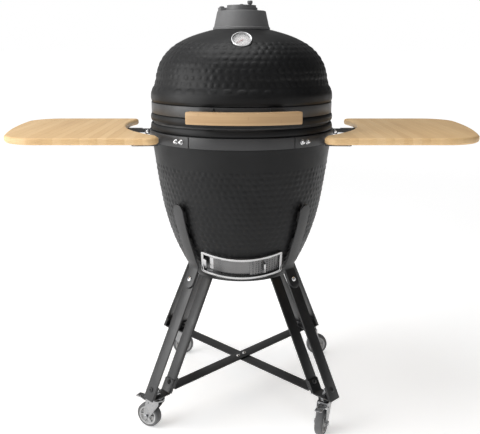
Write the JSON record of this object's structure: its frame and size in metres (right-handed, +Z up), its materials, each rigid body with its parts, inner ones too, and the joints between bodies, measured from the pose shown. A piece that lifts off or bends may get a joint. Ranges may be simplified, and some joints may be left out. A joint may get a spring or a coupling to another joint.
{
  "type": "kamado ceramic grill",
  "caption": "Egg-shaped ceramic grill with hinged dome, top vent, draft door, folding bamboo side shelves and a wheeled flat-bar stand.",
  "frame": {"origin": "on the floor under the egg's axis, which is the centre of the plan", "axes": "+X to the right as seen from the front, +Y to the back where the dome hinge is, +Z up"},
  "size_m": [1.41, 0.664, 1.2276],
  "materials": {
    "ceramic": "satin black glaze over a raised pebble pattern",
    "fire_clay": "unglazed refractory",
    "felt": "dense felt",
    "band_steel": "semi-matt powder coat",
    "bright_steel": "bright plated",
    "spring_steel": "oiled wire",
    "cast_iron": "sand-cast, painted",
    "grate_steel": "drawn stainless rod",
    "stainless": "bright rolled sheet",
    "stand_steel": "black powder coat",
    "pad_rubber": "matt",
    "gauge_case": "polished",
    "gauge_dial": "printed dial",
    "gauge_needle": "enamel",
    "gauge_glass": "clear",
    "bamboo": "oiled bamboo strips",
    "handle_bamboo": "oiled bamboo",
    "zinc_steel": "zinc plated pressing",
    "tread_rubber": "grey tread",
    "wheel_hub": "moulded"
  },
  "bodies": {
    "stand_and_base": {"base_shell": "ceramic", "base_gasket": "felt", "base_band": "band_steel", "front_band_plate": "band_steel", "shelf_brackets": "band_steel", "bracket_fasteners": "bright_steel", "hinge_base_bracket": "band_steel", "hinge_pin": "bright_steel", "hinge_springs": "spring_steel", "fire_box": "fire_clay", "fire_ring": "fire_clay", "charcoal_grate": "cast_iron", "cooking_grate": "grate_steel", "draft_frame": "stainless", "base_ring": "stand_steel", "leg_outer_bars": "stand_steel", "leg_inner_bars": "stand_steel", "leg_feet": "stand_steel", "cradle_arms": "stand_steel", "cradle_pads": "pad_rubber", "cross_bar_lower": "stand_steel", "cross_bar_upper": "stand_steel", "stand_bolts": "bright_steel", "caster_stems": "zinc_steel"},
    "dome": {"dome_shell": "ceramic", "dome_gasket": "felt", "dome_band": "band_steel", "hinge_dome_bracket": "band_steel", "handle_grip": "handle_bamboo", "handle_brackets": "band_steel", "handle_screws": "bright_steel", "vent_body": "cast_iron", "vent_pivot": "bright_steel", "thermometer_case": "gauge_case", "thermometer_dial": "gauge_dial", "thermometer_glass": "gauge_glass"},
    "vent_disc": {"vent_disc": "cast_iron"},
    "daisy_wheel": {"daisy_wheel": "cast_iron", "vent_knob": "cast_iron"},
    "needle": {"thermometer_needle": "gauge_needle"},
    "draft_door": {"draft_door": "stainless"},
    "draft_screen": {"draft_screen": "stainless"},
    "shelf_left": {"shelf_left": "bamboo", "shelf_arms_left": "band_steel"},
    "shelf_right": {"shelf_right": "bamboo", "shelf_arms_right": "band_steel"},
    "caster_front_left": {"caster_fork_front_left": "zinc_steel"},
    "wheel_front_left": {"caster_tyre_front_left": "tread_rubber", "caster_hub_front_left": "wheel_hub"},
    "brake_front_left": {"caster_brake_front_left": "zinc_steel"},
    "caster_front_right": {"caster_fork_front_right": "zinc_steel"},
    "wheel_front_right": {"caster_tyre_front_right": "tread_rubber", "caster_hub_front_right": "wheel_hub"},
    "brake_front_right": {"caster_brake_front_right": "zinc_steel"},
    "caster_rear_left": {"caster_fork_rear_left": "zinc_steel"},
    "wheel_rear_left": {"caster_tyre_rear_left": "tread_rubber", "caster_hub_rear_left": "wheel_hub"},
    "caster_rear_right": {"caster_fork_rear_right": "zinc_steel"},
    "wheel_rear_right": {"caster_tyre_rear_right": "tread_rubber", "caster_hub_rear_right": "wheel_hub"}
  },
  "joints": [
    {"name": "dome_hinge", "type": "hinge", "parent": "stand_and_base", "child": "dome", "pos_m": [0, 0.318, 0.879], "axis": [-1, 0, 0], "range_deg": [0, 70]},
    {"name": "vent_swing", "type": "hinge", "parent": "dome", "child": "vent_disc", "pos_m": [-0.057, 0, 1.2], "axis": [0, 0, 1], "range_deg": [0, 110]},
    {"name": "daisy_turn", "type": "hinge", "parent": "vent_disc", "child": "daisy_wheel", "pos_m": [0, 0, 1.2], "axis": [0, 0, 1], "range_deg": [0, 36]},
    {"name": "needle_turn", "type": "hinge", "parent": "dome", "child": "needle", "pos_m": [0, -0.177, 1.114], "axis": [0, -0.6428, 0.766], "range_deg": [-256, 0]},
    {"name": "draft_door_slide", "type": "hinge", "parent": "stand_and_base", "child": "draft_door", "pos_m": [0, -0.00965, 0.56426], "axis": [0, -0.4163, 0.9092], "range_deg": [0, 23]},
    {"name": "draft_screen_slide", "type": "hinge", "parent": "stand_and_base", "child": "draft_screen", "pos_m": [0, -0.00965, 0.56426], "axis": [0, -0.4163, 0.9092], "range_deg": [-35, 0]},
    {"name": "shelf_left_fold", "type": "hinge", "parent": "stand_and_base", "child": "shelf_left", "pos_m": [-0.304, 0, 0.835], "axis": [0, -1, 0], "range_deg": [0, 90]},
    {"name": "shelf_right_fold", "type": "hinge", "parent": "stand_and_base", "child": "shelf_right", "pos_m": [0.304, 0, 0.835], "axis": [0, 1, 0], "range_deg": [0, 90]},
    {"name": "swivel_front_left", "type": "hinge", "parent": "stand_and_base", "child": "caster_front_left", "pos_m": [-0.2469, -0.2469, 0.097], "axis": [0, 0, 1], "continuous": true},
    {"name": "roll_front_left", "type": "hinge", "parent": "caster_front_left", "child": "wheel_front_left", "pos_m": [-0.27515, -0.23188, 0.0375], "axis": [-0.4695, -0.8829, 0], "continuous": true},
    {"name": "brake_pedal_front_left", "type": "hinge", "parent": "caster_front_left", "child": "brake_front_left", "pos_m": [-0.26809, -0.23563, 0.084], "axis": [-0.4695, -0.8829, 0], "range_deg": [0, 8]},
    {"name": "swivel_front_right", "type": "hinge", "parent": "stand_and_base", "child": "caster_front_right", "pos_m": [0.2469, -0.2469, 0.097], "axis": [0, 0, 1], "continuous": true},
    {"name": "roll_front_right", "type": "hinge", "parent": "caster_front_right", "child": "wheel_front_right", "pos_m": [0.23389, -0.27613, 0.0375], "axis": [0.9135, -0.4067, 0], "continuous": true},
    {"name": "brake_pedal_front_right", "type": "hinge", "parent": "caster_front_right", "child": "brake_front_right", "pos_m": [0.23714, -0.26883, 0.084], "axis": [0.9135, -0.4067, 0], "range_deg": [0, 8]},
    {"name": "swivel_rear_left", "type": "hinge", "parent": "stand_and_base", "child": "caster_rear_left", "pos_m": [-0.2469, 0.2469, 0.097], "axis": [0, 0, 1], "continuous": true},
    {"name": "roll_rear_left", "type": "hinge", "parent": "caster_rear_left", "child": "wheel_rear_left", "pos_m": [-0.21521, 0.25135, 0.0375], "axis": [-0.1392, 0.9903, 0], "continuous": true},
    {"name": "swivel_rear_right", "type": "hinge", "parent": "stand_and_base", "child": "caster_rear_right", "pos_m": [0.2469, 0.2469, 0.097], "axis": [0, 0, 1], "continuous": true},
    {"name": "roll_rear_right", "type": "hinge", "parent": "caster_rear_right", "child": "wheel_rear_right", "pos_m": [0.27882, 0.24913, 0.0375], "axis": [-0.0698, 0.9976, 0], "continuous": true}
  ]
}
